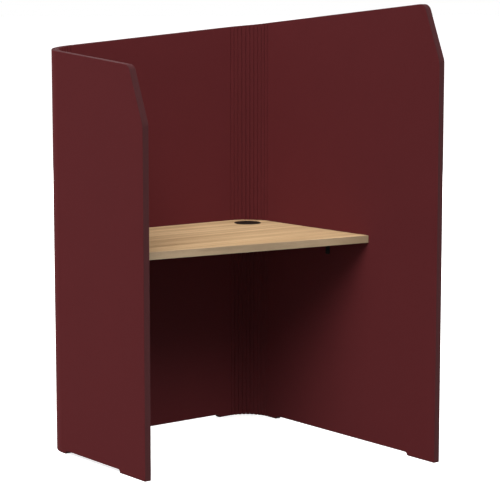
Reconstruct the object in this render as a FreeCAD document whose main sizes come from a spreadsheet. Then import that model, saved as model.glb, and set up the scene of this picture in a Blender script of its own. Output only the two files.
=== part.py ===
import FreeCAD, Part
import math
import os

import Sketcher
from FreeCAD import Placement, Rotation, Vector

# Study carrel. One thick felt board is folded round two kerfed corners into a screen with a short
# left wing and a long right wing, and its top edge climbs evenly from the left wing's front to the
# right wing's front. A skew-fronted worktop sits inside on six angle brackets. A cable grommet is
# set into its rear right corner: its cap lifts out, and a closure under the cap turns to shut the
# cap's slot.
#
# +X runs to the sitter's right along the back, +Y towards the back and +Z up. The origin is on the
# floor, in the middle of the footprint. Millimetres.

DRIVING_SIZES = (
    ("carrel_width", 907, "outside width across the back"),
    ("left_wing", 606, "left wing, from the outer back face to its front edge"),
    ("right_wing", 993.4, "right wing, which makes the unfolded board 2400 long"),
    ("board_thickness", 24, "felt board"),
    ("corner_radius", 100, "inner radius of the two folded corners"),
    ("left_height", 1300, "top edge at the front of the left wing"),
    ("slope_run", 12, "the top edge climbs one in this many along the unfolded board"),
    ("cutoff_run", 73, "corner cut off each wing's front top, along the wing"),
    ("cutoff_drop", 180, "corner cut off each wing's front top, down the front edge"),
    ("cutoff_top_radius", 30, "rounding at the top end of that cut"),
    ("cutoff_low_radius", 50, "rounding at the low end of that cut"),
    ("foot_height", 10.5, "relief under the board between its feet"),
    ("foot_radius", 10, "rounding at the ends of that relief"),
    ("left_wing_foot", 142, "length of both feet under the left wing"),
    ("back_foot", 171, "length of both feet under the back"),
    ("right_rear_foot", 167.5, "length of the rear foot under the right wing"),
    ("right_front_foot", 130.5, "length of the front foot under the right wing"),
    ("kerf_count", 11, "saw kerfs in each corner"),
    ("kerf_depth", 17, "how deep each kerf goes into the board"),
    ("kerf_mouth", 0.6, "kerf width at the inner face, nearly closed by the fold"),
    ("kerf_root", 3.0, "kerf width at its root, where the fold leaves it open"),
    ("worktop_height", 720, "top face of the worktop"),
    ("worktop_thickness", 25, "worktop"),
    ("worktop_gap", 1, "gap between the worktop and the screen"),
    ("worktop_left_depth", 530, "worktop depth at the left, from the inner back face"),
    ("worktop_right_depth", 640, "worktop depth at the right, from the inner back face"),
    ("side_band", 1, "thickness of the edge band round the sides and back"),
    ("front_band", 2, "thickness of the front edge band"),
    ("front_band_radius", 1.5, "rounding along the front edge band"),
    ("bracket_leg", 60, "length of each bracket leg"),
    ("bracket_width", 20, "bracket width"),
    ("bracket_thickness", 3, "bracket thickness"),
    ("bracket_bend", 5, "outer radius of the bracket's bend"),
    ("bracket_end_radius", 4, "rounding of the bracket's four end corners"),
    ("bracket_first_hole", 22, "from the bracket's corner to its first hole"),
    ("bracket_hole_pitch", 23, "between the two holes of a leg"),
    ("bracket_hole_clearance", 0.4, "all round a screw in the bracket"),
    ("wing_bracket_rear", 300, "how far back the rear wing brackets are"),
    ("left_bracket_front", 20, "how far back the front left bracket is"),
    ("right_bracket_front", 42.7, "how far back the front right bracket is"),
    ("back_bracket_side", 200, "how far the two back brackets are from the middle"),
    ("wood_screw_radius", 2, "shank of a worktop screw"),
    ("wood_screw_length", 18, "worktop screw under its head"),
    ("wood_screw_head", 4, "head radius of a worktop screw"),
    ("wood_screw_point", 5, "length of a worktop screw's point"),
    ("wood_screw_tip", 0.4, "radius at the end of that point"),
    ("pilot_radius", 2.1, "pilot hole in the worktop"),
    ("pilot_depth", 16, "depth of a pilot hole"),
    ("machine_screw_radius", 2.5, "shank of a screen screw, M5"),
    ("machine_screw_length", 15, "screen screw under its head"),
    ("machine_screw_head", 4.7, "head radius of a screen screw"),
    ("machine_screw_point", 0.6, "length of the bevel at a screen screw's end"),
    ("machine_screw_tip", 1.9, "radius at the end of that bevel"),
    ("head_height", 2.6, "height of both kinds of screw head"),
    ("head_rounding", 1.6, "rounding of both kinds of screw head"),
    ("recess_reach", 2.3, "from a head's centre to the end of its cross recess"),
    ("recess_width", 1.1, "width of the cross recess"),
    ("recess_depth", 1.4, "depth of the cross recess"),
    ("insert_radius", 5, "body of a threaded insert"),
    ("insert_length", 14, "whole length of an insert"),
    ("insert_flange", 7, "flange radius of an insert"),
    ("insert_flange_depth", 1.2, "flange thickness, let into the board flush"),
    ("insert_bore", 2.6, "threaded hole of an insert"),
    ("insert_clearance", 0.1, "all round an insert in its hole"),
    ("insert_hole_spare", 1, "how much deeper the hole is than the insert"),
    ("grommet_from_right", 99, "grommet centre, from the inner face of the right wing"),
    ("grommet_from_back", 105, "grommet centre, from the inner face of the back"),
    ("grommet_hole", 40, "radius of the hole in the worktop"),
    ("liner_flange", 47.5, "outer radius of the liner's flange"),
    ("liner_outer", 39.7, "outer radius of the liner's tube"),
    ("liner_bore", 37.6, "inner radius of the liner's tube"),
    ("liner_depth", 22, "liner tube below the worktop's top face"),
    ("flange_thickness", 2, "liner flange above the worktop"),
    ("flange_rounding", 1.4, "rounding of the flange's rim"),
    ("cap_seat", 44.3, "radius of the seat let into the flange for the cap"),
    ("cap_radius", 44, "cap"),
    ("cap_thickness", 1.4, "cap"),
    ("cap_rounding", 0.6, "rounding of the cap's rim"),
    ("cap_skirt_outer", 37, "outer radius of the cap's skirt"),
    ("cap_skirt_inner", 35.4, "inner radius of the cap's skirt"),
    ("cap_skirt_depth", 9, "cap skirt below the worktop's top face"),
    ("closure_radius", 34.8, "closure disc under the cap"),
    ("closure_thickness", 1.8, "closure disc"),
    ("closure_play", 0.2, "play above and below the closure disc"),
    ("stud_radius", 4, "stud of the cap that the closure turns on"),
    ("stud_head_radius", 6, "snap head of that stud"),
    ("stud_head_height", 1.4, "snap head of that stud"),
    ("closure_bore", 4.08, "hole of the closure for that stud"),
    ("slot_length", 28, "cable slot, end to end"),
    ("slot_width", 16, "cable slot"),
    ("slot_distance", 20, "from the grommet's centre to the slot's centre"),
    ("slot_end_flat", 0.016, "half the short straight left between the two roundings of a slot's end"),
)

HALF_WIDTH = "(Sizes.carrel_width / 2)"
HALF_DEPTH = "(Sizes.right_wing / 2)"
INNER_X = f"({HALF_WIDTH} - Sizes.board_thickness)"
INNER_Y = f"({HALF_DEPTH} - Sizes.board_thickness)"
OUTER_RADIUS = "(Sizes.corner_radius + Sizes.board_thickness)"
CORNER_X = f"({HALF_WIDTH} - {OUTER_RADIUS})"
CORNER_Y = f"({HALF_DEPTH} - {OUTER_RADIUS})"
LEFT_FRONT = f"({HALF_DEPTH} - Sizes.left_wing)"
RIGHT_FRONT = f"(0 - {HALF_DEPTH})"

# Heights of the top edge where the board goes into and comes out of its corners.
CORNER_RISE = f"(pi * {OUTER_RADIUS} / 2 / Sizes.slope_run)"
LEFT_CORNER_IN = f"(Sizes.left_height + ({CORNER_Y} - {LEFT_FRONT}) / Sizes.slope_run)"
LEFT_CORNER_OUT = f"({LEFT_CORNER_IN} + {CORNER_RISE})"
RIGHT_CORNER_IN = f"({LEFT_CORNER_OUT} + 2 * {CORNER_X} / Sizes.slope_run)"
RIGHT_CORNER_OUT = f"({RIGHT_CORNER_IN} + {CORNER_RISE})"
RIGHT_HEIGHT = f"({RIGHT_CORNER_OUT} + ({CORNER_Y} - {RIGHT_FRONT}) / Sizes.slope_run)"

WORKTOP_UNDERSIDE = "(Sizes.worktop_height - Sizes.worktop_thickness)"
GROMMET_X = f"({INNER_X} - Sizes.grommet_from_right)"
GROMMET_Y = f"({INNER_Y} - Sizes.grommet_from_back)"

# How far the cutting shapes reach past the faces that they cut.
OVERCUT = 5

# Lengths and places closer than this are taken as the same.
SAME = 0.01

# The six brackets: name, where the corner of each is, and how far it is turned about Z. Unturned, a
# bracket stands on the left wing and reaches towards +X under the worktop.
BRACKETS = (
    ("left_front", f"0 - {INNER_X}", "Sizes.left_bracket_front", 0),
    ("left_rear", f"0 - {INNER_X}", "Sizes.wing_bracket_rear", 0),
    ("back_left", "0 - Sizes.back_bracket_side", INNER_Y, -90),
    ("back_right", "Sizes.back_bracket_side", INNER_Y, -90),
    ("right_rear", INNER_X, "Sizes.wing_bracket_rear", 180),
    ("right_front", INNER_X, "Sizes.right_bracket_front", 180),
)

doc = FreeCAD.newDocument("study_carrel")
sizes = doc.addObject("Spreadsheet::Sheet", "Sizes")
subparts = []


def fill_sheet():
    for row, (alias, value, meaning) in enumerate(DRIVING_SIZES, start=1):
        sizes.set(f"A{row}", alias)
        sizes.set(f"B{row}", str(value))
        sizes.set(f"C{row}", meaning)
        sizes.setAlias(f"B{row}", alias)
    doc.recompute()


def number(expression):
    """The value of an expression over the sheet, as a plain number."""
    return float(sizes.evalExpression(str(expression)))


def new_body(name):
    body = doc.addObject("PartDesign::Body", name)
    body.Label = name
    body.AllowCompound = True
    subparts.append(body)
    return body


def new_sketch(body, name, role, origin=("0", "0", "0"), turn=0):
    """A sketch on one of the body's origin planes, with its own origin moved by expressions.

    They run along the plane's two directions and its normal. turn is in degrees.
    """
    sketch = body.newObject("Sketcher::SketchObject", name)
    planes = body.Origin.OriginFeatures
    sketch.AttachmentSupport = [(next(plane for plane in planes if plane.Role == role), "")]
    sketch.MapMode = "FlatFace"
    sketch.AttachmentOffset = Placement(Vector(), Rotation(Vector(0, 0, 1), turn))
    for axis, expression in zip("xyz", origin):
        sketch.setExpression(f".AttachmentOffset.Base.{axis}", expression)
    return sketch


def bind(sketch, kind, *where, size):
    """Add one dimension to the sketch and tie it to the sheet."""
    index = sketch.addConstraint(Sketcher.Constraint(kind, *where, number(size)))
    sketch.setExpression(f"Constraints[{index}]", size)


def place_point(sketch, geometry, end, x, y):
    bind(sketch, "DistanceX", -1, 1, geometry, end, size=x)
    bind(sketch, "DistanceY", -1, 1, geometry, end, size=y)


def draw_outline(sketch, corners):
    """Close an outline through corners given as (x, y) or (x, y, radius), all expressions.

    A corner with a radius becomes an arc, tangent to the two lines that would meet there.
    """
    points = [Vector(number(corner[0]), number(corner[1]), 0) for corner in corners]
    ends = []
    arcs = []
    clockwise = []
    for index, corner in enumerate(corners):
        point = points[index]
        along_in = (point - points[index - 1]).normalize()
        along_out = (points[(index + 1) % len(points)] - point).normalize()
        clockwise.append(along_in.cross(along_out).z < 0)
        if len(corner) == 2:
            ends.append((point, point))
            arcs.append(None)
            continue
        turn = along_in.getAngle(along_out)
        reach = number(corner[2]) * math.tan(turn / 2)
        start = point - along_in * reach
        end = point + along_out * reach
        to_centre = (along_out - along_in).normalize()
        middle = point + to_centre * number(corner[2]) * (1 / math.cos(turn / 2) - 1)
        ends.append((start, end))
        arcs.append(Part.Arc(start, middle, end))

    lines = []
    for index in range(len(corners)):
        following = (index + 1) % len(corners)
        segment = Part.LineSegment(ends[index][1], ends[following][0])
        lines.append(sketch.addGeometry(segment, False))

    for index, corner in enumerate(corners):
        before = lines[index - 1]
        after = lines[index]
        if arcs[index] is None:
            sketch.addConstraint(Sketcher.Constraint("Coincident", before, 2, after, 1))
            place_point(sketch, after, 1, corner[0], corner[1])
            continue
        arc = sketch.addGeometry(arcs[index], False)
        first, last = (2, 1) if clockwise[index] else (1, 2)
        apex = sketch.addGeometry(Part.Point(points[index]), True)
        place_point(sketch, apex, 1, corner[0], corner[1])
        sketch.addConstraint(Sketcher.Constraint("PointOnObject", apex, 1, before))
        sketch.addConstraint(Sketcher.Constraint("PointOnObject", apex, 1, after))
        sketch.addConstraint(Sketcher.Constraint("Tangent", before, 2, arc, first))
        sketch.addConstraint(Sketcher.Constraint("Tangent", after, 1, arc, last))
        bind(sketch, "Radius", arc, size=corner[2])


def draw_circle(sketch, x, y, radius):
    centre = Vector(number(x), number(y), 0)
    circle = sketch.addGeometry(Part.Circle(centre, Vector(0, 0, 1), number(radius)), False)
    place_point(sketch, circle, 3, x, y)
    bind(sketch, "Radius", circle, size=radius)


def pad(body, sketch, length, backwards=False):
    feature = body.newObject("PartDesign::Pad", f"{sketch.Name}_pad")
    feature.Profile = sketch
    feature.Reversed = backwards
    feature.setExpression("Length", length)
    return feature


def pocket(body, sketch, depth, forwards=False):
    """A pocket cuts against the sketch plane's normal, or along it when it goes forwards."""
    feature = body.newObject("PartDesign::Pocket", f"{sketch.Name}_pocket")
    feature.Profile = sketch
    feature.Reversed = forwards
    feature.setExpression("Length", depth)
    return feature


def revolve(body, sketch, axis="V_Axis"):
    feature = body.newObject("PartDesign::Revolution", f"{sketch.Name}_revolution")
    feature.Profile = sketch
    feature.ReferenceAxis = (sketch, [axis])
    feature.Angle = 360
    return feature


def place(body, x, y, z, turn=0):
    body.Placement = Placement(Vector(), Rotation(Vector(0, 0, 1), turn))
    for axis, expression in zip("xyz", (x, y, z)):
        body.setExpression(f".Placement.Base.{axis}", str(expression))


def foot_relief(rear, front):
    """The corners of the relief between two feet, in a plane whose directions are along and up."""
    return [
        (rear, "0"),
        (rear, "Sizes.foot_height", "Sizes.foot_radius"),
        (front, "Sizes.foot_height", "Sizes.foot_radius"),
        (front, "0"),
    ]


def add_wing(body, side, front, height_at_front, climb, rear_foot, front_foot, corner_top):
    """One wing: a flat plate whose front top corner is cut off. climb is +1 where the top rises
    towards the back and -1 where it falls."""
    cut_end = f"({front} + Sizes.cutoff_run)"
    cut_top = f"({height_at_front} + {climb} * Sizes.cutoff_run / Sizes.slope_run)"
    relief = foot_relief(f"({HALF_DEPTH} - {rear_foot})", f"({front} + {front_foot})")
    corners = [(CORNER_Y, "0")] + relief + [
        (front, "0"),
        (front, f"({cut_top} - Sizes.cutoff_drop)", "Sizes.cutoff_low_radius"),
        (cut_end, cut_top, "Sizes.cutoff_top_radius"),
        (CORNER_Y, corner_top),
    ]
    outer_face = f"0 - {HALF_WIDTH}" if side == "left" else INNER_X
    sketch = new_sketch(body, f"{side}_wing", "YZ_Plane", ("0", "0", outer_face))
    draw_outline(sketch, corners)
    pad(body, sketch, "Sizes.board_thickness")


def add_back(body):
    foot_end = f"({HALF_WIDTH} - Sizes.back_foot)"
    sketch = new_sketch(body, "back", "XZ_Plane", ("0", "0", f"0 - {HALF_DEPTH}"))
    corners = [(f"0 - {CORNER_X}", "0")] + foot_relief(f"0 - {foot_end}", foot_end) + [
        (CORNER_X, "0"),
        (CORNER_X, RIGHT_CORNER_IN),
        (f"0 - {CORNER_X}", LEFT_CORNER_OUT),
    ]
    draw_outline(sketch, corners)
    pad(body, sketch, "Sizes.board_thickness")


def add_corner(body, side):
    """A quarter ring whose top climbs as a helicoid, level across the board's thickness."""
    left = side == "left"
    centre_x = f"0 - {CORNER_X}" if left else CORNER_X
    top_in = LEFT_CORNER_IN if left else RIGHT_CORNER_IN
    ring = new_sketch(body, f"{side}_corner", "XY_Plane", (centre_x, CORNER_Y, "0"), 90 if left else 0)
    arcs = []
    for radius in ("Sizes.corner_radius", OUTER_RADIUS):
        circle = Part.Circle(Vector(), Vector(0, 0, 1), number(radius))
        arc = ring.addGeometry(Part.ArcOfCircle(circle, 0, math.pi / 2), False)
        ring.addConstraint(Sketcher.Constraint("Coincident", arc, 3, -1, 1))
        ring.addConstraint(Sketcher.Constraint("PointOnObject", arc, 1, -1))
        ring.addConstraint(Sketcher.Constraint("PointOnObject", arc, 2, -2))
        bind(ring, "Radius", arc, size=radius)
        arcs.append(arc)
    inner, outer = (number("Sizes.corner_radius"), number(OUTER_RADIUS))
    for end, unit in ((1, Vector(1, 0, 0)), (2, Vector(0, 1, 0))):
        line = ring.addGeometry(Part.LineSegment(unit * inner, unit * outer), False)
        ring.addConstraint(Sketcher.Constraint("Coincident", line, 1, arcs[0], end))
        ring.addConstraint(Sketcher.Constraint("Coincident", line, 2, arcs[1], end))
    pad(body, ring, f"({top_in} + {CORNER_RISE} + {OVERCUT})")

    # The cutter starts where the board enters the corner and climbs clockwise with the top edge.
    if left:
        section = new_sketch(body, "left_corner_top", "XZ_Plane", (centre_x, top_in, f"0 - {CORNER_Y}"))
        near, far = f"({OVERCUT} - Sizes.corner_radius)", f"(0 - {OUTER_RADIUS} - {OVERCUT})"
    else:
        section = new_sketch(body, "right_corner_top", "YZ_Plane", (CORNER_Y, top_in, centre_x))
        near, far = f"(Sizes.corner_radius - {OVERCUT})", f"({OUTER_RADIUS} + {OVERCUT})"
    cutter_height = f"({CORNER_RISE} + 2 * {OVERCUT})"
    draw_outline(section, [(near, "0"), (far, "0"), (far, cutter_height), (near, cutter_height)])
    climb = body.newObject("PartDesign::SubtractiveHelix", f"{side}_corner_climb")
    climb.Profile = section
    climb.ReferenceAxis = (section, ["V_Axis"])
    climb.Mode = "pitch-height-angle"
    climb.LeftHanded = True
    climb.setExpression("Pitch", f"4 * {CORNER_RISE}")
    climb.setExpression("Height", CORNER_RISE)


def cut_kerfs(body, side):
    """Saw kerfs from top to bottom of a corner's inner side, evenly spaced round its quarter turn."""
    pitch = 90 / number("Sizes.kerf_count")
    left = side == "left"
    centre_x = f"0 - {CORNER_X}" if left else CORNER_X
    first = pitch / 2 + (90 if left else 0)
    kerf = new_sketch(body, f"{side}_kerf", "XY_Plane", (centre_x, CORNER_Y, "0"), first)
    mouth = f"(Sizes.corner_radius - {OVERCUT})"
    root = "(Sizes.corner_radius + Sizes.kerf_depth)"
    draw_outline(kerf, [
        (mouth, "0 - Sizes.kerf_mouth / 2"),
        ("Sizes.corner_radius", "0 - Sizes.kerf_mouth / 2"),
        (root, "0 - Sizes.kerf_root / 2"),
        (root, "Sizes.kerf_root / 2"),
        ("Sizes.corner_radius", "Sizes.kerf_mouth / 2"),
        (mouth, "Sizes.kerf_mouth / 2"),
    ])
    single = pocket(body, kerf, RIGHT_HEIGHT, forwards=True)
    pattern = body.newObject("PartDesign::PolarPattern", f"{side}_kerfs")
    pattern.Originals = [single]
    pattern.Axis = (kerf, ["N_Axis"])
    pattern.Mode = "Spacing"
    pattern.setExpression("Offset", "90 / Sizes.kerf_count")
    pattern.setExpression("Occurrences", "Sizes.kerf_count")
    body.Tip = pattern


def bracket_hole_steps():
    return [f"(Sizes.bracket_first_hole + {step} * Sizes.bracket_hole_pitch)" for step in (0, 1)]


def drill_insert_holes(body):
    """Blind holes for the inserts, with a shallow counterbore each, on the three inner faces."""
    walls = {
        "left": ("YZ_Plane", f"0 - {INNER_X}", False),
        "back": ("XZ_Plane", f"0 - {INNER_Y}", False),
        "right": ("YZ_Plane", INNER_X, True),
    }
    bore = "(Sizes.insert_radius + Sizes.insert_clearance)"
    flange = "(Sizes.insert_flange + Sizes.insert_clearance)"
    cuts = (
        ("flange", flange, "Sizes.insert_flange_depth"),
        ("bore", bore, "(Sizes.insert_length + Sizes.insert_hole_spare)"),
    )
    for wall, (role, face, forwards) in walls.items():
        for cut, radius, depth in cuts:
            sketch = new_sketch(body, f"{wall}_{cut}", role, ("0", "0", face))
            for name, x, y, _turn in BRACKETS:
                if not name.startswith(wall):
                    continue
                along = x if wall == "back" else y
                for step in bracket_hole_steps():
                    draw_circle(sketch, along, f"({WORKTOP_UNDERSIDE} - {step})", radius)
            pocket(body, sketch, depth, forwards)


def make_screen_panel():
    body = new_body("screen_panel")
    add_corner(body, "left")
    left_top = ("Sizes.left_height", "1", "Sizes.left_wing_foot", "Sizes.left_wing_foot")
    add_wing(body, "left", LEFT_FRONT, *left_top, LEFT_CORNER_IN)
    add_back(body)
    add_corner(body, "right")
    right_top = (RIGHT_HEIGHT, "-1", "Sizes.right_rear_foot", "Sizes.right_front_foot")
    add_wing(body, "right", RIGHT_FRONT, *right_top, RIGHT_CORNER_OUT)
    drill_insert_holes(body)
    cut_kerfs(body, "left")
    cut_kerfs(body, "right")


def front_edge(x, setback="0"):
    """Y of the worktop's skew front edge at x, moved back by setback."""
    middle = f"({INNER_Y} - (Sizes.worktop_left_depth + Sizes.worktop_right_depth) / 2)"
    skew = f"((Sizes.worktop_right_depth - Sizes.worktop_left_depth) / (2 * {INNER_X}))"
    return f"({middle} - {skew} * ({x}) + {setback})"


def worktop_outline(setback, front_setback):
    """Corners of the worktop's plan, set back from the screen and from its own front edge."""
    side = f"({INNER_X} - {setback})"
    back = f"({INNER_Y} - {setback})"
    radius = f"(Sizes.corner_radius - {setback})"
    return [
        (f"0 - {side}", front_edge(f"0 - {side}", front_setback)),
        (side, front_edge(side, front_setback)),
        (side, back, radius),
        (f"0 - {side}", back, radius),
    ]


def make_worktop_board():
    body = new_body("worktop_board")
    plan = new_sketch(body, "worktop_plan", "XY_Plane", ("0", "0", WORKTOP_UNDERSIDE))
    draw_outline(plan, worktop_outline("(Sizes.worktop_gap + Sizes.side_band)", "Sizes.front_band"))
    pad(body, plan, "Sizes.worktop_thickness")

    hole = new_sketch(body, "grommet_hole", "XY_Plane", ("0", "0", "Sizes.worktop_height"))
    draw_circle(hole, GROMMET_X, GROMMET_Y, "Sizes.grommet_hole")
    pocket(body, hole, "Sizes.worktop_thickness")

    pilots = new_sketch(body, "pilot_holes", "XY_Plane", ("0", "0", WORKTOP_UNDERSIDE))
    for _name, x, y, turn in BRACKETS:
        toward_x = round(math.cos(math.radians(turn)))
        toward_y = round(math.sin(math.radians(turn)))
        for step in bracket_hole_steps():
            hole_x = f"({x} + {toward_x} * {step})"
            hole_y = f"({y} + {toward_y} * {step})"
            draw_circle(pilots, hole_x, hole_y, "Sizes.pilot_radius")
    pocket(body, pilots, "Sizes.pilot_depth", forwards=True)


def make_front_band():
    body = new_body("worktop_front_band")
    plan = new_sketch(body, "front_band_plan", "XY_Plane", ("0", "0", WORKTOP_UNDERSIDE))
    side = f"({INNER_X} - Sizes.worktop_gap)"
    draw_outline(plan, [
        (f"0 - {side}", front_edge(f"0 - {side}")),
        (side, front_edge(side)),
        (side, front_edge(side, "Sizes.front_band")),
        (f"0 - {side}", front_edge(f"0 - {side}", "Sizes.front_band")),
    ])
    strip = pad(body, plan, "Sizes.worktop_thickness")
    doc.recompute()

    # The two long edges of the front face are the ones that lie on the finished front line.
    rounded = []
    for index, edge in enumerate(strip.Shape.Edges, start=1):
        middle = edge.CenterOfMass
        on_front = abs(middle.y - number(front_edge(middle.x))) < SAME
        if on_front and edge.Length > number("Sizes.carrel_width") / 2:
            rounded.append(f"Edge{index}")
    fillet = body.newObject("PartDesign::Fillet", "front_band_fillet")
    fillet.Base = (strip, rounded)
    fillet.setExpression("Radius", "Sizes.front_band_radius")


def make_side_band():
    """One band round the left side, the back and the right side, up against the front band."""
    body = new_body("worktop_side_band")
    plan = new_sketch(body, "side_band_plan", "XY_Plane", ("0", "0", WORKTOP_UNDERSIDE))
    outside = worktop_outline("Sizes.worktop_gap", "Sizes.front_band")
    inside = worktop_outline("(Sizes.worktop_gap + Sizes.side_band)", "Sizes.front_band")
    draw_outline(plan, outside[1:] + [outside[0], inside[0]] + inside[:0:-1])
    pad(body, plan, "Sizes.worktop_thickness")


def make_bracket(name, x, y, turn):
    """A steel angle: one leg under the worktop, one leg down the screen, two holes in each."""
    body = new_body(f"{name}_bracket")
    leg = "Sizes.bracket_leg"
    thickness = "Sizes.bracket_thickness"
    clearance = "Sizes.bracket_hole_clearance"
    half_width = "(Sizes.bracket_width / 2)"
    section = new_sketch(body, f"{name}_section", "XZ_Plane", ("0", "0", f"0 - {half_width}"))
    draw_outline(section, [
        ("0", "0", "Sizes.bracket_bend"),
        ("0", f"0 - {leg}"),
        (thickness, f"0 - {leg}"),
        (thickness, f"0 - {thickness}", f"(Sizes.bracket_bend - {thickness})"),
        (leg, f"0 - {thickness}"),
        (leg, "0"),
    ])
    angle = pad(body, section, "Sizes.bracket_width")
    doc.recompute()

    # Only the four edges across the ends of the legs are straight and as long as the steel is thick.
    ends = []
    for index, edge in enumerate(angle.Shape.Edges, start=1):
        if edge.Curve.TypeId == "Part::GeomLine" and abs(edge.Length - number(thickness)) < SAME:
            ends.append(f"Edge{index}")
    rounding = body.newObject("PartDesign::Fillet", f"{name}_end_rounding")
    rounding.Base = (angle, ends)
    rounding.setExpression("Radius", "Sizes.bracket_end_radius")

    under_worktop = new_sketch(body, f"{name}_level_holes", "XY_Plane")
    down_screen = new_sketch(body, f"{name}_upright_holes", "YZ_Plane")
    for step in bracket_hole_steps():
        draw_circle(under_worktop, step, "0", f"(Sizes.wood_screw_radius + {clearance})")
        draw_circle(down_screen, "0", f"0 - {step}", f"(Sizes.machine_screw_radius + {clearance})")
    pocket(body, under_worktop, thickness)
    pocket(body, down_screen, thickness, forwards=True)
    place(body, x, y, WORKTOP_UNDERSIDE, turn)


def screw_outline(kind):
    """Half a pan-head screw: its axis runs up the sketch and its head bears on the zero line."""
    shank, head, length, point, tip = (
        f"Sizes.{kind}_screw_{size}" for size in ("radius", "head", "length", "point", "tip")
    )
    return [
        ("0", "0 - Sizes.head_height"),
        (head, "0 - Sizes.head_height", "Sizes.head_rounding"),
        (head, "0"),
        (shank, "0"),
        (shank, f"{length} - {point}"),
        (tip, length),
        ("0", length),
    ]


def cut_recess(body, name, role, origin, forwards):
    """A cross recess in a screw's head, on a plane at the head's face."""
    recess = new_sketch(body, f"{name}_recess", role, origin)
    arm = "Sizes.recess_reach"
    half = "(Sizes.recess_width / 2)"
    draw_outline(recess, [
        (arm, f"0 - {half}"), (arm, half),
        (half, half), (half, arm),
        (f"0 - {half}", arm), (f"0 - {half}", half),
        (f"0 - {arm}", half), (f"0 - {arm}", f"0 - {half}"),
        (f"0 - {half}", f"0 - {half}"), (f"0 - {half}", f"0 - {arm}"),
        (half, f"0 - {arm}"), (half, f"0 - {half}"),
    ])
    return pocket(body, recess, "Sizes.recess_depth", forwards)


def repeat_along(body, name, features, direction, backwards):
    """The second piece of a pair, one hole pitch along."""
    pattern = body.newObject("PartDesign::LinearPattern", f"{name}_pair")
    pattern.Originals = features
    pattern.Direction = direction
    pattern.Reversed = backwards
    pattern.Mode = "Spacing"
    pattern.setExpression("Offset", "Sizes.bracket_hole_pitch")
    pattern.Occurrences = 2
    body.Tip = pattern


def make_worktop_screws(name, x, y, turn):
    """Two screws up through the bracket's level leg into the worktop."""
    body = new_body(f"{name}_worktop_screws")
    bearing = "0 - Sizes.bracket_thickness"
    profile = new_sketch(body, f"{name}_worktop_screw", "XZ_Plane",
                         ("Sizes.bracket_first_hole", bearing, "0"))
    draw_outline(profile, screw_outline("wood"))
    screw = revolve(body, profile)
    face = f"{bearing} - Sizes.head_height"
    recess = cut_recess(body, f"{name}_worktop", "XY_Plane",
                        ("Sizes.bracket_first_hole", "0", face), True)
    repeat_along(body, f"{name}_worktop_screw", [screw, recess], (profile, ["H_Axis"]), False)
    place(body, x, y, WORKTOP_UNDERSIDE, turn)


def make_screen_screws(name, x, y, turn):
    """Two machine screws through the bracket's upright leg into the inserts."""
    body = new_body(f"{name}_screen_screws")
    profile = new_sketch(body, f"{name}_screen_screw", "XZ_Plane",
                         ("Sizes.bracket_thickness", "0 - Sizes.bracket_first_hole", "0"), 90)
    draw_outline(profile, screw_outline("machine"))
    screw = revolve(body, profile)
    face = "Sizes.bracket_thickness + Sizes.head_height"
    recess = cut_recess(body, f"{name}_screen", "YZ_Plane",
                        ("0", "0 - Sizes.bracket_first_hole", face), False)
    repeat_along(body, f"{name}_screen_screw", [screw, recess], (profile, ["H_Axis"]), True)
    place(body, x, y, WORKTOP_UNDERSIDE, turn)


def make_inserts(name, x, y, turn):
    """Two flanged inserts let into the screen behind the bracket's upright leg."""
    body = new_body(f"{name}_inserts")
    profile = new_sketch(body, f"{name}_insert", "XZ_Plane",
                         ("0", "0 - Sizes.bracket_first_hole", "0"), 90)
    draw_outline(profile, [
        ("Sizes.insert_bore", "0"),
        ("Sizes.insert_flange", "0"),
        ("Sizes.insert_flange", "Sizes.insert_flange_depth"),
        ("Sizes.insert_radius", "Sizes.insert_flange_depth"),
        ("Sizes.insert_radius", "Sizes.insert_length"),
        ("Sizes.insert_bore", "Sizes.insert_length"),
    ])
    insert = revolve(body, profile)
    repeat_along(body, f"{name}_insert", [insert], (profile, ["H_Axis"]), True)
    place(body, x, y, WORKTOP_UNDERSIDE, turn)


def make_grommet_liner():
    body = new_body("grommet_liner")
    half = new_sketch(body, "liner_section", "XZ_Plane")
    seat = "(Sizes.flange_thickness - Sizes.cap_thickness)"
    draw_outline(half, [
        ("Sizes.liner_bore", "0 - Sizes.liner_depth"),
        ("Sizes.liner_outer", "0 - Sizes.liner_depth"),
        ("Sizes.liner_outer", "0"),
        ("Sizes.liner_flange", "0"),
        ("Sizes.liner_flange", "Sizes.flange_thickness", "Sizes.flange_rounding"),
        ("Sizes.cap_seat", "Sizes.flange_thickness"),
        ("Sizes.cap_seat", seat),
        ("Sizes.liner_bore", seat),
    ])
    revolve(body, half)
    place(body, GROMMET_X, GROMMET_Y, "Sizes.worktop_height")


def draw_slot(sketch, turned):
    """The cable slot: two half rounds and two straights, beyond the centre along one direction."""
    half_length = "(Sizes.slot_length / 2)"
    near = "(Sizes.slot_distance - Sizes.slot_width / 2)"
    far = "(Sizes.slot_distance + Sizes.slot_width / 2)"
    radius = "(Sizes.slot_width / 2 - Sizes.slot_end_flat)"
    corners = [
        (f"0 - {half_length}", near, radius),
        (half_length, near, radius),
        (half_length, far, radius),
        (f"0 - {half_length}", far, radius),
    ]
    if turned:
        corners = [(y, f"0 - ({x})", radius) for x, y, radius in corners]
    draw_outline(sketch, corners)


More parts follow.
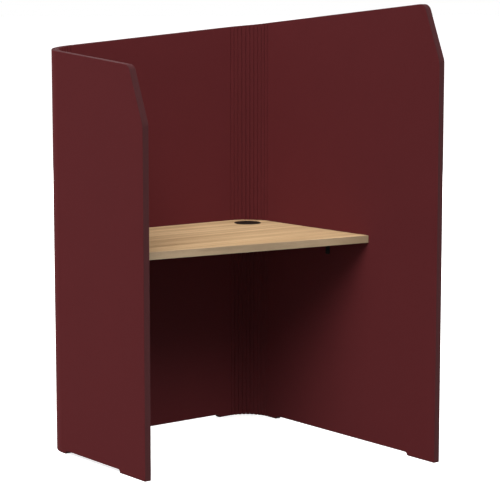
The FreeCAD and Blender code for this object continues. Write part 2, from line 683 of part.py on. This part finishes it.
def make_grommet_cap():
    """The disc, the skirt that centres it in the liner, and the stud for the closure."""
    body = new_body("grommet_cap")
    half = new_sketch(body, "cap_section", "XZ_Plane")
    underside = "(Sizes.flange_thickness - Sizes.cap_thickness)"
    closure_top = f"({underside} - Sizes.closure_play)"
    stud_neck = f"({closure_top} - Sizes.closure_thickness - Sizes.closure_play)"
    draw_outline(half, [
        ("0", f"{stud_neck} - Sizes.stud_head_height"),
        ("Sizes.stud_radius", f"{stud_neck} - Sizes.stud_head_height"),
        ("Sizes.stud_head_radius", stud_neck),
        ("Sizes.stud_radius", stud_neck),
        ("Sizes.stud_radius", underside),
        ("Sizes.cap_skirt_inner", underside),
        ("Sizes.cap_skirt_inner", "0 - Sizes.cap_skirt_depth"),
        ("Sizes.cap_skirt_outer", "0 - Sizes.cap_skirt_depth"),
        ("Sizes.cap_skirt_outer", underside),
        ("Sizes.cap_radius", underside),
        ("Sizes.cap_radius", "Sizes.flange_thickness", "Sizes.cap_rounding"),
        ("0", "Sizes.flange_thickness"),
    ])
    revolve(body, half)
    slot = new_sketch(body, "cap_slot", "XY_Plane", ("0", "0", "Sizes.flange_thickness"))
    draw_slot(slot, False)
    pocket(body, slot, "Sizes.cap_thickness")
    place(body, GROMMET_X, GROMMET_Y, "Sizes.worktop_height")


def make_grommet_closure():
    """The disc under the cap, at rest a quarter turn away from the cap's slot."""
    body = new_body("grommet_closure")
    top = "(Sizes.flange_thickness - Sizes.cap_thickness - Sizes.closure_play)"
    disc = new_sketch(body, "closure_disc", "XY_Plane", ("0", "0", top))
    draw_circle(disc, "0", "0", "Sizes.closure_radius")
    draw_circle(disc, "0", "0", "Sizes.closure_bore")
    pad(body, disc, "Sizes.closure_thickness", backwards=True)
    slot = new_sketch(body, "closure_slot", "XY_Plane", ("0", "0", top))
    draw_slot(slot, True)
    pocket(body, slot, "Sizes.closure_thickness")
    place(body, GROMMET_X, GROMMET_Y, "Sizes.worktop_height")


def check_document():
    doc.recompute()
    for item in doc.Objects:
        if "Invalid" in item.State or "Error" in item.State:
            raise RuntimeError(f"{item.Name} failed: {item.State}")
    for body in subparts:
        if body.Shape.isNull() or not body.Shape.isValid():
            raise RuntimeError(f"{body.Label} has no valid shape")


def write_steps():
    os.makedirs("parts", exist_ok=True)
    for body in subparts:
        body.Shape.exportStep(f"parts/{body.Label}.step")
        solids = len(body.Shape.Solids)
        print(f"{body.Label:30s} solids {solids:2d}  volume {body.Shape.Volume / 1000:12.3f} cm3")


fill_sheet()
make_screen_panel()
make_worktop_board()
make_front_band()
make_side_band()
for bracket in BRACKETS:
    make_bracket(*bracket)
    make_worktop_screws(*bracket)
    make_screen_screws(*bracket)
    make_inserts(*bracket)
make_grommet_liner()
make_grommet_cap()
make_grommet_closure()
check_document()
write_steps()
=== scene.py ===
"""Looks of the study carrel: a felt screen folded round two kerfed corners, with an oak worktop,
angle brackets and a cable grommet. Metres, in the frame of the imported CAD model."""

import math

import bmesh
import bpy
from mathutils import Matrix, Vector


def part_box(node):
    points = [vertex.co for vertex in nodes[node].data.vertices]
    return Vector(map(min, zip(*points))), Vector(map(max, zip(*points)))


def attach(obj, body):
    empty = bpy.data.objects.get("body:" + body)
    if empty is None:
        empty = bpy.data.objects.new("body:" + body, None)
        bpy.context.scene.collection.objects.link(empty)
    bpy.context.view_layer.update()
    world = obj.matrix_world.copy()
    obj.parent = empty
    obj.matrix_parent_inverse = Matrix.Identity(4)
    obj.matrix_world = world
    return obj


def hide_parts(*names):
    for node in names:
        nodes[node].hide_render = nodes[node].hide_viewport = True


# The felt board before it is folded. "along" runs over its outer face from the left wing's front
# edge, round both corners, to the right wing's front edge. The top edge starts at LEFT_HEIGHT and
# climbs by CLIMB for each metre along, before its two corners are cut off.
BOARD = 0.024
INNER_RADIUS = 0.100
OUTER_RADIUS = INNER_RADIUS + BOARD
LEFT_WING = 0.606
LEFT_HEIGHT = 1.300
CLIMB = 1 / 12

# The corner cut off each wing's front top.
CUT_RUN = 0.073
CUT_DROP = 0.180
CUT_TOP_RADIUS = 0.030
CUT_LOW_RADIUS = 0.050

# The relief under the board, which leaves feet of these lengths.
FOOT_HEIGHT = 0.0105
FOOT_RADIUS = 0.010
LEFT_WING_FOOT = 0.142
BACK_FOOT = 0.171
RIGHT_REAR_FOOT = 0.1675
RIGHT_FRONT_FOOT = 0.1305

# The saw kerfs inside each corner.
KERF_COUNT = 11
KERF_DEPTH = 0.017
KERF_MOUTH = 0.0006
KERF_ROOT = 0.0030

# Steps that a rounded corner of the board's outline is drawn with.
CUT_TOP_STEPS = 8
CUT_LOW_STEPS = 5
FOOT_STEPS = 4

# Rounding of the felt's edges, the kerfs' lips among them, and of the brackets' edges.
FELT_EDGE_ROUND = 0.0024
FELT_EDGE_STEPS = 3
BRACKET_EDGE_ROUND = 0.0003
BRACKET_EDGE_STEPS = 2

# In degrees: an edge that turns by more is sharp, and faces that turn by less are one flat face.
SHARP_ANGLE = 35
FLAT_ANGLE = 1

# Points closer together than this are one point, and this many decimals tell points apart.
SAME_PLACE = 0.00001
KEY_DIGITS = 6

# The felt mesh's two materials, by their slot.
FACE = 0
CUT_EDGE = 1

# The felt's fibres and pressed layers are drawn out by shrinking one direction of their noise.
FIBRE_STRETCH = 0.14
LAYER_STRETCH = 0.03

# The oak's growth rings, how far they wander, in rings, and where in its figure the worktop was
# cut. The cut is placed so that lighter figure falls on the worktop's rear: painted light where the
# felt walls shade it.
RINGS_PER_METRE = 26.0
RING_WANDER = 4.0
VENEER_CUT_PAINTED_LIGHT = (1.3, 0.56, 0)

# Colours, as linear red, green and blue.
FELT_RED = (0.0875, 0.0130, 0.0148)
FELT_FLECK = (0.19, 0.055, 0.06)
FELT_EDGE = (0.0618, 0.0180, 0.0196)
FELT_EDGE_FLECK = (0.15, 0.07, 0.072)
OAK_LIGHT = (0.69, 0.476, 0.265)
OAK_DARK = (0.42, 0.264, 0.134)
OAK_PORE = (0.25, 0.152, 0.077)
# The edge band is the veneer in tones about half as light: painted shade, for edges that take less
# light than the top.
SHADED_BAND_LIGHT = (0.345, 0.249, 0.152)
SHADED_BAND_DARK = (0.232, 0.164, 0.096)
SHADED_BAND_PORE = (0.16, 0.105, 0.057)
STEEL_BLACK = (0.004, 0.004, 0.004)
BRASS = (0.58, 0.43, 0.18)
# The grommet's plastic is black with a brown tint; the tint is a painted reflection of the oak.
PLASTIC_BLACK_PAINTED_REFLECTION = (0.0115, 0.0068, 0.0045)

# The camera looks right of +Y by its yaw and below level by its tilt, in degrees.
CAMERA_PLACE = (-3.655, -4.720, 1.485)
CAMERA_YAW = 38.15
CAMERA_TILT = 7.60
CAMERA_LENS = 131.5
SENSOR_WIDTH = 36
FAR_CLIP = 400

# The sky's brightness by height, where -1 is straight down, 0 the horizon and 1 straight up. It is
# SKY_BELOW and SKY_ABOVE at the two ends.
SKY_BELOW = 0.15
SKY_HORIZON = 1.0
SKY_ABOVE = 0.46
SKY_STOPS = (
    (-0.06, SKY_BELOW),
    (-0.03, SKY_HORIZON),
    (0.06, SKY_HORIZON),
    (0.14, SKY_ABOVE),
)

# The softboxes: name, place, size and power. The rear one lights the outer back and right faces.
SOFTBOXES = (
    ("key_softbox", (-6.1, -9.9, 13.8), (25.2, 9.0), 3850),
    ("left_softbox", (-3.0, -1.3, 6.6), (4.2, 4.2), 205),
    ("rear_softbox", (7.0, 7.5, 3.0), (10.0, 5.0), 700),
)
SOFTBOX_TARGET = (0, 0, 0.7)

FLOOR_HALF = 200
FLOOR_GRID = 8
FLOOR_DROP = 0.0005
FLOOR_GLOW = 0.75


# Sockets of the Mix node for colours, which share their names with its other kinds.
MIX_FACTOR = 0
MIX_FIRST = 6
MIX_SECOND = 7
MIX_RESULT = 2


def rgba(tone, factor=1.0):
    """A tone as a shader takes it, made lighter or darker by a factor."""
    return (*(channel * factor for channel in tone), 1.0)


def grey(level):
    return (level, level, level, 1.0)


class Material:
    """A node material in the making. Inputs are given by name, as values or as sockets."""

    def __init__(self, name):
        self.data = bpy.data.materials.new(name)
        self.data.use_nodes = True
        self.tree = self.data.node_tree
        self.tree.nodes.clear()
        output = self.tree.nodes.new("ShaderNodeOutputMaterial")
        self.shader = self.tree.nodes.new("ShaderNodeBsdfPrincipled")
        self.tree.links.new(self.shader.outputs["BSDF"], output.inputs["Surface"])

    def connect(self, node, inputs):
        for name, value in inputs.items():
            socket = node.inputs[name]
            if isinstance(value, bpy.types.NodeSocket):
                self.tree.links.new(value, socket)
            else:
                socket.default_value = value

    def add(self, kind, inputs, **settings):
        node = self.tree.nodes.new("ShaderNode" + kind)
        for name, value in settings.items():
            setattr(node, name, value)
        self.connect(node, inputs)
        return node

    def place(self, source, stretch=(1, 1, 1), cut=(0, 0, 0)):
        """Texture coordinates in metres, moved by cut and stretched by a factor along each axis."""
        coordinates = self.add("TexCoord", {})
        mapping = self.add("Mapping", {
            "Vector": coordinates.outputs[source],
            "Location": [shift * factor for shift, factor in zip(cut, stretch)],
            "Scale": stretch,
        })
        return mapping.outputs["Vector"]

    def noise(self, vector, scale, detail, roughness, distortion=0.0):
        node = self.add("TexNoise", {
            "Vector": vector,
            "Scale": scale,
            "Detail": detail,
            "Roughness": roughness,
            "Distortion": distortion,
        })
        return node.outputs["Fac"]

    def remap(self, value, low, high, to_low=0.0, to_high=1.0):
        node = self.add("MapRange", {
            "Value": value,
            "From Min": low,
            "From Max": high,
            "To Min": to_low,
            "To Max": to_high,
        })
        return node.outputs["Result"]

    def math(self, operation, first, second=0.0):
        node = self.add("Math", {0: first, 1: second}, operation=operation)
        return node.outputs["Value"]

    def raised(self, height, part, share):
        """A height with a share of another part added to it."""
        return self.math("ADD", height, self.math("MULTIPLY", part, share))

    def over(self, under, tone, value, low, high, most=1.0):
        """Lays a tone over another: none where the value is low, and the share most where high."""
        factor = self.remap(value, low, high, to_high=most)
        return self.mix(factor, under, tone)

    def mix(self, factor, first, second):
        node = self.add("Mix", {}, data_type="RGBA")
        self.connect(node, {MIX_FACTOR: factor, MIX_FIRST: first, MIX_SECOND: second})
        return node.outputs[MIX_RESULT]

    def bump(self, height, distance, strength):
        inputs = {"Height": height, "Distance": distance, "Strength": strength}
        return self.add("Bump", inputs).outputs["Normal"]

    def finish(self, **inputs):
        named = {name.replace("_", " "): value for name, value in inputs.items()}
        self.connect(self.shader, named)
        return self.data


# ---------------------------------------------------------------------------------------------
# Materials. A noise's scale is its cells to the metre, where its place isn't stretched.
# ---------------------------------------------------------------------------------------------

def felt(name, tone, fleck, layered):
    """Needled polyester felt: mixed fibres, a soft nap and a little mottling. A cut edge also
    shows the pressed layers of the board."""
    m = Material(name)
    flat = m.place("UV")
    long_fibres = m.place("UV", (1, FIBRE_STRETCH, 1))
    cross_fibres = m.place("UV", (FIBRE_STRETCH, 1, 1))
    mottle = m.noise(flat, scale=7.0, detail=3.0, roughness=0.55)
    cloud = m.noise(flat, scale=60.0, detail=4.0, roughness=0.6)
    heather = m.noise(flat, scale=420.0, detail=6.0, roughness=0.7, distortion=0.6)
    strand_one = m.noise(long_fibres, scale=1500.0, detail=3.0, roughness=0.6, distortion=1.2)
    strand_two = m.noise(cross_fibres, scale=1300.0, detail=3.0, roughness=0.6, distortion=1.2)
    strands = m.math("MAXIMUM", strand_one, strand_two)

    body = m.over(rgba(tone, 0.86), rgba(tone, 1.14), heather, low=0.3, high=0.7)
    body = m.over(body, rgba(tone, 1.10), mottle, low=0.3, high=0.7, most=0.35)
    body = m.over(body, rgba(tone, 0.90), cloud, low=0.35, high=0.75, most=0.22)
    body = m.over(body, rgba(fleck), strands, low=0.66, high=0.78, most=0.45)
    height = m.raised(heather, strands, share=0.6)
    if layered:
        layers = m.noise(m.place("UV", (LAYER_STRETCH, 1, 1)), scale=700.0, detail=2.0, roughness=0.5)
        body = m.over(body, rgba(tone, 0.72), layers, low=0.4, high=0.7, most=0.35)
        height = m.raised(height, layers, share=1.2)
    height = m.raised(height, cloud, share=0.8)
    return m.finish(
        Base_Color=body,
        Diffuse_Roughness=1.0,
        Roughness=m.remap(heather, low=0.3, high=0.7, to_low=0.88, to_high=0.98),
        Specular_IOR_Level=0.10,
        Sheen_Weight=0.05,
        Sheen_Roughness=0.6,
        Sheen_Tint=rgba(tone, 4.0),
        Normal=m.bump(height, distance=0.0006, strength=0.6),
    )


def oak(name, light, dark, pore):
    """Oak veneer with its grain along X: long wandering bands, fine lines and short open pores."""
    m = Material(name)

    # The cut shifts all of the figure and puts lighter figure where the walls shade the rear: painted
    # light.
    def figure(along, across, scale, detail, roughness):
        """Noise drawn out along the grain."""
        where = m.place("Object", (along, across, across), VENEER_CUT_PAINTED_LIGHT)
        return m.noise(where, scale, detail, roughness)

    wander = figure(along=1.3, across=9.0, scale=1.0, detail=3.0, roughness=0.5)
    stripes = figure(along=0.7, across=30.0, scale=1.0, detail=5.0, roughness=0.62)
    lines = figure(along=2.6, across=420.0, scale=2.0, detail=3.0, roughness=0.6)
    pores = figure(along=26.0, across=1500.0, scale=1.6, detail=2.0, roughness=0.5)
    blotch = figure(along=1.0, across=2.2, scale=3.2, detail=2.0, roughness=0.5)
    board = m.add("SeparateXYZ", {"Vector": m.place("Object", cut=VENEER_CUT_PAINTED_LIGHT)})
    rings = m.raised(m.math("MULTIPLY", board.outputs["Y"], RINGS_PER_METRE), wander, RING_WANDER)
    bands = m.math("SINE", m.math("MULTIPLY", rings, 2 * math.pi))

    tone = m.over(rgba(light), rgba(dark), stripes, low=0.38, high=0.62)
    tone = m.over(tone, rgba(dark), bands, low=0.2, high=1.0, most=0.25)
    tone = m.over(tone, rgba(dark), lines, low=0.42, high=0.66, most=0.24)
    tone = m.over(tone, rgba(light, 1.05), blotch, low=0.35, high=0.7, most=0.3)
    tone = m.over(tone, rgba(pore), pores, low=0.60, high=0.70, most=0.42)
    grain = m.raised(m.math("MULTIPLY", lines, 0.5), pores, share=-0.8)
    return m.finish(
        Base_Color=tone,
        Roughness=m.remap(lines, low=0.35, high=0.7, to_low=0.42, to_high=0.56),
        Specular_IOR_Level=0.35,
        Normal=m.bump(grain, distance=0.0002, strength=0.5),
    )


def powder_coat(name, tone):
    """Powder-coated steel, with the fine orange peel of the coat."""
    m = Material(name)
    where = m.place("Object")
    peel = m.noise(where, scale=900.0, detail=3.0, roughness=0.5)
    wear = m.noise(where, scale=120.0, detail=4.0, roughness=0.6)
    return m.finish(
        Base_Color=m.over(rgba(tone), rgba(tone, 1.9), wear, low=0.4, high=0.75),
        Roughness=m.remap(peel, low=0.3, high=0.7, to_low=0.50, to_high=0.66),
        Specular_IOR_Level=0.08,
        Normal=m.bump(peel, distance=0.0001, strength=0.5),
    )


def turned_metal(name, tone):
    """Bare turned metal, with faint turning marks and handling stains."""
    m = Material(name)
    turning = m.place("Object", stretch=(220.0, 220.0, 2600.0))
    marks = m.noise(turning, scale=1.0, detail=2.0, roughness=0.5)
    stain = m.noise(m.place("Object"), scale=260.0, detail=4.0, roughness=0.6)
    return m.finish(
        Base_Color=m.over(rgba(tone), rgba(tone, 0.72), stain, low=0.35, high=0.75),
        Metallic=1.0,
        Roughness=m.remap(stain, low=0.3, high=0.7, to_low=0.28, to_high=0.46),
        Normal=m.bump(marks, distance=0.00005, strength=0.5),
    )


def moulded_plastic(name, tone):
    """Moulded plastic with a fine spark-eroded texture and a few rub marks."""
    m = Material(name)
    where = m.place("Object")
    grain = m.noise(where, scale=1700.0, detail=3.0, roughness=0.6)
    rub = m.noise(where, scale=55.0, detail=5.0, roughness=0.65)
    return m.finish(
        Base_Color=m.over(rgba(tone), rgba(tone, 1.3), rub, low=0.4, high=0.75),
        Roughness=m.remap(rub, low=0.35, high=0.7, to_low=0.50, to_high=0.65),
        Specular_IOR_Level=0.18,
        Normal=m.bump(grain, distance=0.00012, strength=0.6),
    )


def studio_floor():
    m = Material("studio_floor")
    dust = m.noise(m.place("Object"), scale=3.0, detail=4.0, roughness=0.6)
    return m.finish(
        Base_Color=m.over(grey(0.90), grey(0.92), dust, low=0.3, high=0.7),
        Roughness=0.9,
        Specular_IOR_Level=0.2,
        Emission_Color=grey(1.0),
        Emission_Strength=FLOOR_GLOW,
    )


# ---------------------------------------------------------------------------------------------
# The felt screen
# ---------------------------------------------------------------------------------------------

def rounded(before, corner, after, radius, steps):
    """The points of an arc that rounds one corner of an outline, given as (along, height)."""
    before, corner, after = (Vector(point) for point in (before, corner, after))
    to_before = (before - corner).normalized()
    to_after = (after - corner).normalized()
    half = to_before.angle(to_after) / 2
    centre = corner + (to_before + to_after).normalized() * radius / math.sin(half)
    first = corner + to_before * radius / math.tan(half) - centre
    last = corner + to_after * radius / math.tan(half) - centre
    sweep = first.angle(last)
    points = []
    for step in range(steps + 1):
        share = step / steps
        weight_first = math.sin((1 - share) * sweep) / math.sin(sweep)
        weight_last = math.sin(share * sweep) / math.sin(sweep)
        points.append(tuple(centre + first * weight_first + last * weight_last))
    return points


def height_on(outline, along):
    """Height of an outline, a list of (along, height) in order, at one place along the board."""
    for (start, low), (end, high) in zip(outline, outline[1:]):
        if start < end and along <= end:
            share = max(0.0, (along - start) / (end - start))
            return low + (high - low) * share
    return outline[-1][1]


class FoldedBoard:
    """The screen's geometry: a flat board of even thickness, folded round two corners."""

    def __init__(self, low, high):
        self.left = low.x
        self.right = high.x
        self.rear = high.y
        self.front = low.y
        self.corner_x = self.right - OUTER_RADIUS
        self.corner_y = self.rear - OUTER_RADIUS
        turn = OUTER_RADIUS * math.pi / 2
        self.left_in = LEFT_WING - OUTER_RADIUS
        self.left_out = self.left_in + turn
        self.right_in = self.left_out + 2 * self.corner_x
        self.right_out = self.right_in + turn
        self.end = self.right_out + self.corner_y - self.front

    def fold(self, along, depth):
        """Where a point of the flat board lies once it is folded, in plan."""
        radius = OUTER_RADIUS - depth
        if along <= self.left_in:
            return self.left + depth, self.rear - LEFT_WING + along
        if along < self.left_out:
            angle = math.pi - (along - self.left_in) / OUTER_RADIUS
            return radius * math.cos(angle) - self.corner_x, radius * math.sin(angle) + self.corner_y
        if along <= self.right_in:
            return along - self.left_out - self.corner_x, self.rear - depth
        if along < self.right_out:
            angle = math.pi / 2 - (along - self.right_in) / OUTER_RADIUS
            return radius * math.cos(angle) + self.corner_x, radius * math.sin(angle) + self.corner_y
        return self.right - depth, self.corner_y - (along - self.right_out)

    def top(self):
        """The top edge from end to end, with both front corners cut off and rounded."""
        left_cut = (CUT_RUN, LEFT_HEIGHT + CUT_RUN * CLIMB)
        right_cut = (self.end - CUT_RUN, LEFT_HEIGHT + (self.end - CUT_RUN) * CLIMB)
        left_low = (0.0, left_cut[1] - CUT_DROP)
        right_low = (self.end, right_cut[1] - CUT_DROP)
        outline = rounded((0.0, 0.0), left_low, left_cut, CUT_LOW_RADIUS, CUT_LOW_STEPS)
        outline += rounded(left_low, left_cut, right_cut, CUT_TOP_RADIUS, CUT_TOP_STEPS)
        outline += rounded(left_cut, right_cut, right_low, CUT_TOP_RADIUS, CUT_TOP_STEPS)
        outline += rounded(right_cut, right_low, (self.end, 0.0), CUT_LOW_RADIUS, CUT_LOW_STEPS)
        return outline

    def bottom(self):
        """The bottom edge from end to end: feet on the floor, with relief between them."""
        back_middle = self.left_out + self.corner_x
        to_foot = self.right - BACK_FOOT
        reliefs = (
            (LEFT_WING_FOOT, LEFT_WING - LEFT_WING_FOOT),
            (back_middle - to_foot, back_middle + to_foot),
            (self.right_out + RIGHT_REAR_FOOT - OUTER_RADIUS, self.end - RIGHT_FRONT_FOOT),
        )
        outline = [(0.0, 0.0)]
        for start, end in reliefs:
            corners = [(start, 0.0), (start, FOOT_HEIGHT), (end, FOOT_HEIGHT), (end, 0.0)]
            outline.append(corners[0])
            outline += rounded(*corners[0:3], FOOT_RADIUS, FOOT_STEPS)[1:]
            outline += rounded(*corners[1:4], FOOT_RADIUS, FOOT_STEPS)[:-1]
            outline.append(corners[3])
        outline.append((self.end, 0.0))
        return outline

    def kerf_points(self, corner_in, number):
        """One kerf's four points as (along, depth): lip, root, root, lip. Each lies at its own
        true distance from the middle of the kerf, so the kerf keeps straight walls."""
        pitch = OUTER_RADIUS * math.pi / 2 / KERF_COUNT
        middle = corner_in + (number + 0.5) * pitch
        points = []
        profile = (
            (INNER_RADIUS, -KERF_MOUTH / 2),
            (INNER_RADIUS + KERF_DEPTH, -KERF_ROOT / 2),
            (INNER_RADIUS + KERF_DEPTH, KERF_ROOT / 2),
            (INNER_RADIUS, KERF_MOUTH / 2),
        )
        for radius, aside in profile:
            along = middle + math.atan2(aside, radius) * OUTER_RADIUS
            points.append((along, OUTER_RADIUS - math.hypot(radius, aside)))
        return points


def corner_cells(board, corner_in, corner_out):
    """The plan of one kerfed corner as a row of cells, each with its outer and its inner points
    in order, as (along, depth). Neighbouring cells share their end points."""
    cells = []
    from_along = corner_in
    begin = [(corner_in, BOARD)]
    for number in range(KERF_COUNT + 1):
        if number < KERF_COUNT:
            lip, root, far_root, far_lip = board.kerf_points(corner_in, number)
            to_along, stop = root[0], [lip, root]
        else:
            to_along, stop = corner_out, [(corner_out, BOARD)]
        halfway = (begin[-1][0] + stop[0][0]) / 2
        outer = [(from_along + (to_along - from_along) * share, 0.0) for share in (0, 0.5, 1)]
        cells.append((outer, begin + [(halfway, BOARD)] + stop))
        if number < KERF_COUNT:
            cells.append(([(root[0], 0.0), (far_root[0], 0.0)], [root, far_root]))
            from_along, begin = far_root[0], [far_root, far_lip]
    return cells


def build_screen(low, high):
    """One closed mesh. Its UV map is the flat board in metres: along and up on the faces, along
    and through the board on the cut edges."""
    board = FoldedBoard(low, high)
    outlines = {"bottom": board.bottom(), "top": board.top()}
    mesh = bmesh.new()
    uv = mesh.loops.layers.uv.new("flat_board")
    vertices = {}

    def vertex(point, end):
        key = (round(point[0], KEY_DIGITS), round(point[1], KEY_DIGITS), end)
        if key not in vertices:
            x, y = board.fold(*point)
            z = height_on(outlines[end], point[0])
            vertices[key] = mesh.verts.new((x, y, z))
        return vertices[key]

    def face(corners, kind, across):
        """corners are (point, end); across picks the two lengths that the UV map follows."""
        made = mesh.faces.new([vertex(point, end) for point, end in corners])
        made.material_index = kind
        for loop, ((along, depth), _end) in zip(made.loops, corners):
            height = loop.vert.co.z
            maps = {"height": (along, height), "depth": (along, depth), "wall": (height, depth)}
            loop[uv].uv = maps[across]

    def strip(points, kind, maps):
        """Upright faces from each point to the next, over the board's whole height."""
        for first, second, across in zip(points, points[1:], maps):
            corners = [(first, "bottom"), (second, "bottom"), (second, "top"), (first, "top")]
            face(corners, kind, across)

    def flat_part(start, end):
        """One whole face outside, one inside, and the cut edges above and below them."""
        stops = {}
        for level, outline in outlines.items():
            inside = [along for along, _ in outline if start + SAME_PLACE < along < end - SAME_PLACE]
            stops[level] = [start] + inside + [end]
        for depth in (0.0, BOARD):
            corners = [((along, depth), "bottom") for along in stops["bottom"]]
            corners += [((along, depth), "top") for along in reversed(stops["top"])]
            face(corners, FACE, "height")
        for level, alongs in stops.items():
            for first, second in zip(alongs, alongs[1:]):
                around = ((first, 0.0), (second, 0.0), (second, BOARD), (first, BOARD))
                face([(point, level) for point in around], CUT_EDGE, "depth")

    def kerfed_part(start, end):
        """The faces outside and inside, the kerfs' walls, and the cut edges above and below."""
        for outer, inner in corner_cells(board, start, end):
            flush = [BOARD - depth < SAME_PLACE for _along, depth in inner]
            both_flush = [first and second for first, second in zip(flush, flush[1:])]
            strip(outer, FACE, ["height"] * (len(outer) - 1))
            strip(inner, FACE, ["height" if on_face else "wall" for on_face in both_flush])
            for level in outlines:
                face([(point, level) for point in outer + inner[::-1]], CUT_EDGE, "depth")

    flat_part(0.0, board.left_in)
    kerfed_part(board.left_in, board.left_out)
    flat_part(board.left_out, board.right_in)
    kerfed_part(board.right_in, board.right_out)
    flat_part(board.right_out, board.end)
    for along in (0.0, board.end):
        strip([(along, 0.0), (along, BOARD)], CUT_EDGE, ["wall"])

    bmesh.ops.recalc_face_normals(mesh, faces=mesh.faces)
    weight = mesh.edges.layers.float.new("bevel_weight_edge")
    for edge in mesh.edges:
        if edge.is_convex and edge.calc_face_angle() > math.radians(SHARP_ANGLE):
            edge[weight] = 1.0
    data = bpy.data.meshes.new("felt_screen")
    mesh.to_mesh(data)
    mesh.free()
    for polygon in data.polygons:
        polygon.use_smooth = True
    screen = bpy.data.objects.new("felt_screen", data)
    bpy.context.scene.collection.objects.link(screen)
    return screen


def soften(piece, width, limit, steps):
    """Rounds a piece's sharp edges, and keeps its flat faces flat in the shading."""
    bevel = piece.modifiers.new("edge_round", "BEVEL")
    bevel.width = width
    bevel.segments = steps
    bevel.limit_method = limit
    bevel.angle_limit = math.radians(SHARP_ANGLE)
    bevel.use_clamp_overlap = False
    shading = piece.modifiers.new("flat_faces", "WEIGHTED_NORMAL")
    shading.keep_sharp = True


# ---------------------------------------------------------------------------------------------
# Studio
# ---------------------------------------------------------------------------------------------

def build_softbox(name, place, size, power):
    light = bpy.data.lights.new(name, "AREA")
    light.shape = "RECTANGLE"
    light.size, light.size_y = size
    light.energy = power
    lamp = bpy.data.objects.new(name, light)
    lamp.location = place
    lamp.visible_camera = False
    aim = Vector(SOFTBOX_TARGET) - Vector(place)
    lamp.rotation_euler = aim.to_track_quat("-Z", "Y").to_euler()
    bpy.context.scene.collection.objects.link(lamp)


def build_floor():
    """A white, glowing floor just under the feet. Diffuse surfaces take no light from it."""
    mesh = bmesh.new()
    bmesh.ops.create_grid(mesh, x_segments=FLOOR_GRID, y_segments=FLOOR_GRID, size=FLOOR_HALF)
    data = bpy.data.meshes.new("floor")
    mesh.to_mesh(data)
    mesh.free()
    floor = bpy.data.objects.new("floor", data)
    floor.location.z = -FLOOR_DROP
    floor.visible_diffuse = False
    bpy.context.scene.collection.objects.link(floor)
    data.materials.append(studio_floor())


def build_sky():
    """A sky whose ramp runs from 0, straight down, to 1, straight up."""
    world = bpy.data.worlds.new("studio")
    bpy.context.scene.world = world
    world.use_nodes = True
    tree = world.node_tree
    direction = tree.nodes.new("ShaderNodeTexCoord")
    split = tree.nodes.new("ShaderNodeSeparateXYZ")
    ramp = tree.nodes.new("ShaderNodeValToRGB")
    lift = tree.nodes.new("ShaderNodeMapRange")
    lift.inputs["From Min"].default_value = -1.0
    tree.links.new(direction.outputs["Generated"], split.inputs["Vector"])
    tree.links.new(split.outputs["Z"], lift.inputs["Value"])
    tree.links.new(lift.outputs["Result"], ramp.inputs["Fac"])
    tree.links.new(ramp.outputs["Color"], tree.nodes["Background"].inputs["Color"])
    lowest, highest = ramp.color_ramp.elements
    lowest.color = grey(SKY_BELOW)
    highest.color = grey(SKY_ABOVE)
    for height, level in SKY_STOPS:
        stop = ramp.color_ramp.elements.new((height + 1) / 2)
        stop.color = grey(level)


def build_camera():
    data = bpy.data.cameras.new("camera")
    data.sensor_width = SENSOR_WIDTH
    data.lens = CAMERA_LENS
    data.clip_end = FAR_CLIP
    camera = bpy.data.objects.new("camera", data)
    camera.location = CAMERA_PLACE
    camera.rotation_euler = (math.radians(90 - CAMERA_TILT), 0, math.radians(-CAMERA_YAW))
    bpy.context.scene.collection.objects.link(camera)
    bpy.context.scene.camera = camera


# ---------------------------------------------------------------------------------------------

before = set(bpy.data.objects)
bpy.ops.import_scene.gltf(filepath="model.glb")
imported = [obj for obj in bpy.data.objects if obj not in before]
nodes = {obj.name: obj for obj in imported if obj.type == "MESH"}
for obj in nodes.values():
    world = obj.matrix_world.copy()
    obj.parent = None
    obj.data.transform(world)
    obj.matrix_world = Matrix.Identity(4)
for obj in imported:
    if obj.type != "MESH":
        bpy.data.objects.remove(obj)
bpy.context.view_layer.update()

felt_face = felt("felt_face", FELT_RED, FELT_FLECK, layered=False)
felt_cut = felt("felt_cut_edge", FELT_EDGE, FELT_EDGE_FLECK, layered=True)
oak_top = oak("oak_veneer", OAK_LIGHT, OAK_DARK, OAK_PORE)
# The edge band: the oak veneer in darker tones, as painted shade.
oak_edge_painted_shade = oak("oak_edge_band_painted_shade", SHADED_BAND_LIGHT, SHADED_BAND_DARK, SHADED_BAND_PORE)
black_steel = powder_coat("black_powder_coat", STEEL_BLACK)
brass = turned_metal("brass", BRASS)
# Black plastic, tinted brown as a painted reflection of the oak.
black_plastic = moulded_plastic("black_plastic", PLASTIC_BLACK_PAINTED_REFLECTION)

screen = build_screen(*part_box("screen_panel"))
screen.data.materials.append(felt_face)
screen.data.materials.append(felt_cut)
soften(screen, FELT_EDGE_ROUND, "WEIGHT", FELT_EDGE_STEPS)
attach(screen, "carrel")
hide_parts("screen_panel")

# What a CAD node's name holds, and the finish that it takes.
FINISHES = (
    ("worktop_board", oak_top),
    ("_band", oak_edge_painted_shade),
    ("_bracket", black_steel),
    ("_screws", black_steel),
    ("_inserts", brass),
    ("grommet_", black_plastic),
)
for name, node in nodes.items():
    for pattern, material in FINISHES:
        if pattern in name:
            node.data.materials.clear()
            node.data.materials.append(material)
    if name.endswith("_bracket"):
        weld = node.modifiers.new("one_surface", "WELD")
        weld.merge_threshold = SAME_PLACE
        merge = node.modifiers.new("whole_faces", "DECIMATE")
        merge.decimate_type = "DISSOLVE"
        merge.angle_limit = math.radians(FLAT_ANGLE)
        soften(node, BRACKET_EDGE_ROUND, "ANGLE", BRACKET_EDGE_STEPS)

build_sky()
for softbox in SOFTBOXES:
    build_softbox(*softbox)
build_floor()
build_camera()
bpy.context.scene.view_settings.view_transform = "Standard"
